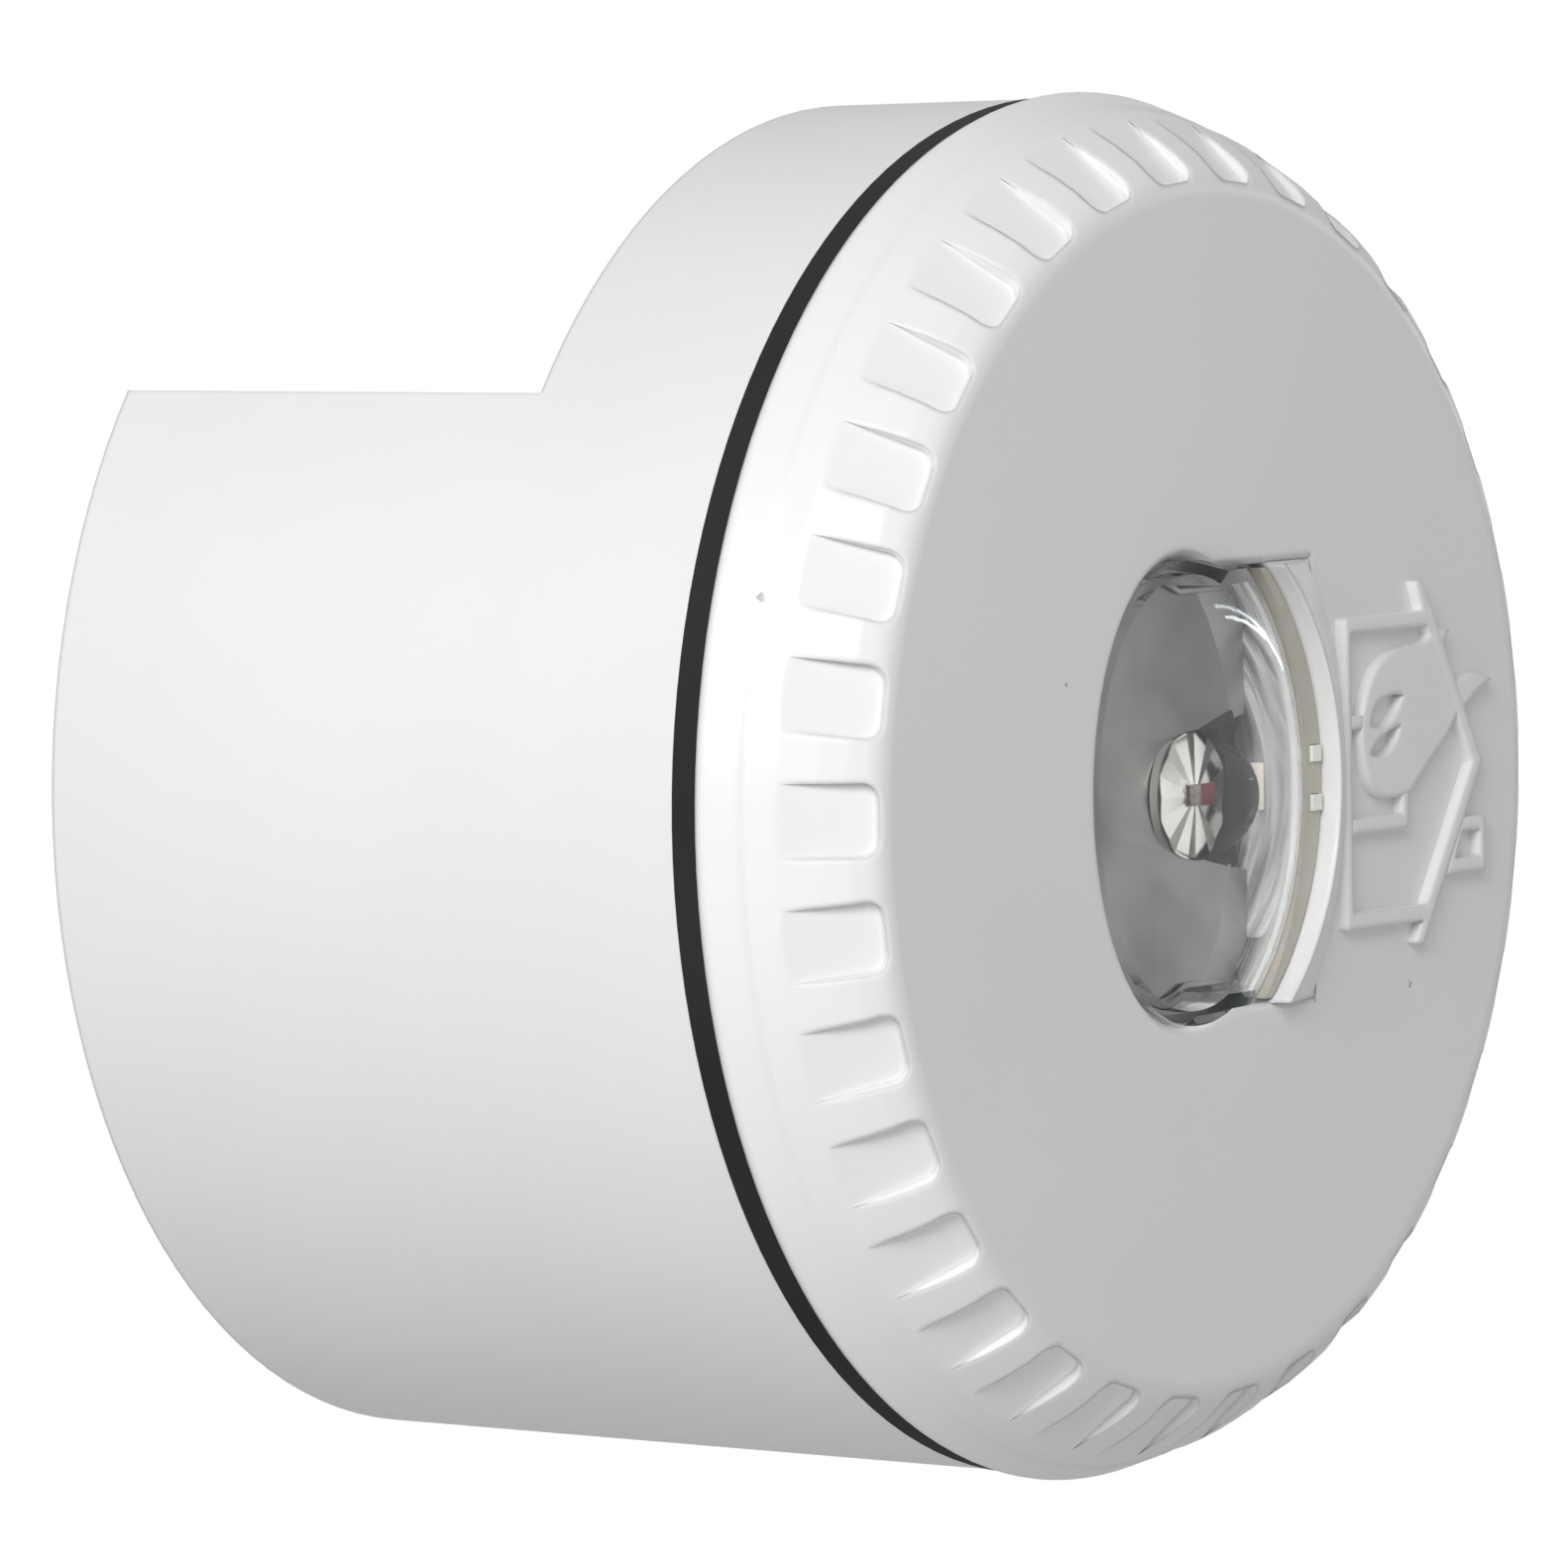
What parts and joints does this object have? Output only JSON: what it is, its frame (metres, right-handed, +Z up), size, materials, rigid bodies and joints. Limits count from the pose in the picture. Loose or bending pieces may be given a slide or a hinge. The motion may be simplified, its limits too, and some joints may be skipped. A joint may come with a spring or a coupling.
{
  "type": "wall alarm strobe beacon",
  "caption": "Round wall-mounted visual alarm with a deep base, a twist-on head ringed with grip recesses and a clear domed strobe window.",
  "frame": {"origin": "on the wall, where the axis of the round base meets its rear face", "axes": "+Y into the wall, -Y out through the lens, +Z up towards the flat for conduit, +X to the right of someone who looks at the front"},
  "size_m": [0.101, 0.072, 0.101],
  "materials": {
    "base_white": "moulded, fine matt",
    "cover_white": "moulded, glossy",
    "inner_plastic": "moulded, satin",
    "black_plastic": "moulded, satin",
    "black_rubber": "matt",
    "clear_lens": "clear, polished",
    "clear_dome": "clear, polished",
    "pale_bar": "translucent, satin",
    "light_window": "translucent",
    "satin_metal": "metallised, satin",
    "plain_aluminium": "plain",
    "steel": "zinc plated",
    "brass": "plain",
    "green_board": "satin lacquer"
  },
  "bodies": {
    "base": {"base_housing": "base_white", "rear_grommet": "black_rubber", "gasket": "black_rubber", "terminal_plate": "inner_plastic", "plate_screws": "steel", "terminal_block": "black_plastic", "terminal_screws": "steel", "contact_clips": "brass"},
    "head": {"front_cover": "cover_white", "lens": "clear_lens", "lens_seal": "black_rubber", "lens_clamp": "black_plastic", "clamp_screws": "steel", "indicator_bar": "pale_bar", "indicator_windows": "light_window", "status_leds": "light_window", "reflector": "satin_metal", "side_prism": "clear_dome", "led_dome": "clear_dome", "led_carrier": "black_plastic", "led_board": "plain_aluminium", "heat_spreader": "plain_aluminium", "led_pins": "brass", "spreader_spacers": "plain_aluminium", "main_board": "green_board", "board_screws": "steel", "capacitor_main": "plain_aluminium", "capacitor_small": "plain_aluminium", "inductor": "black_plastic", "driver_chip": "black_plastic", "head_chassis": "inner_plastic", "chassis_screws": "steel", "contact_blades": "brass"}
  },
  "joints": [
    {"name": "head_twist", "type": "hinge", "parent": "base", "child": "head", "pos_m": [0, 0, 0], "axis": [0, -1, 0], "range_deg": [-4.2, 16.8]}
  ]
}
